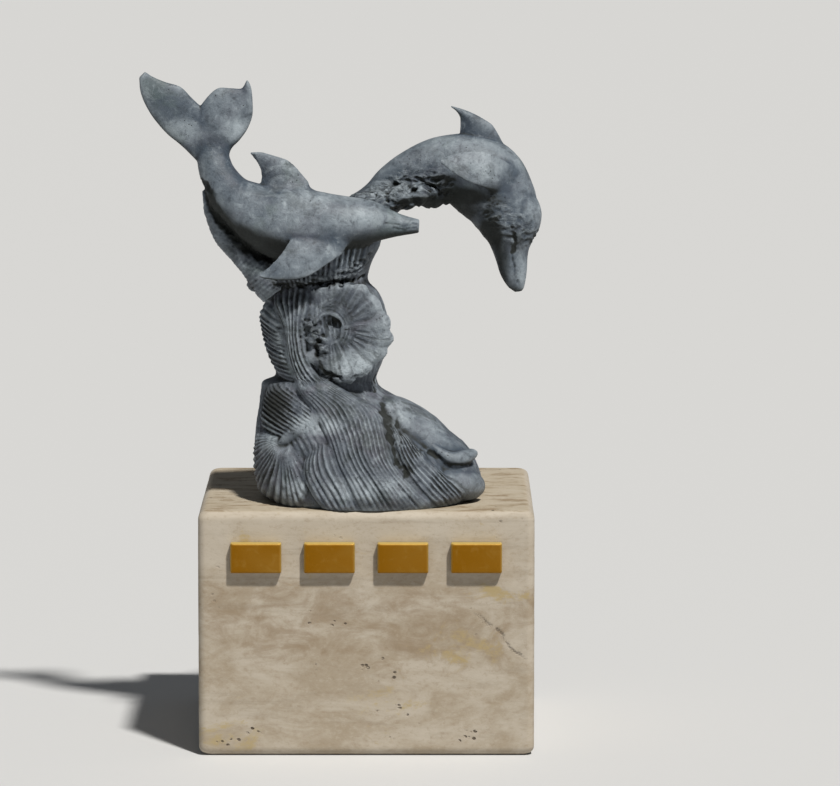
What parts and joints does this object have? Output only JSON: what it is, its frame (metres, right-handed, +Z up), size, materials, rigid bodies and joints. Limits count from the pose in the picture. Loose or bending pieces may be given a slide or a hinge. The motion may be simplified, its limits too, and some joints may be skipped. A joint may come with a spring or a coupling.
{
  "type": "marble dolphin statue",
  "caption": "Marble group of leaping dolphins over a carved breaking wave, on a travertine block plinth with small brass plates.",
  "frame": {"origin": "middle of the plinth's underside", "axes": "+Z up; -Y towards the front, with the brass plates; +X to the right of someone facing the front"},
  "size_m": [1.2187, 0.9783, 2.0623],
  "materials": {
    "marble": "honed, weathered grey marble with pale veins",
    "travertine": "honed travertine with open pores and ochre streaks",
    "brass": "dark aged brass, satin"
  },
  "bodies": {
    "root": {"dolphin_group": "marble", "plinth": "travertine", "brass_plate_1": "brass", "brass_plate_2": "brass", "brass_plate_3": "brass", "brass_plate_4": "brass"}
  },
  "joints": []
}
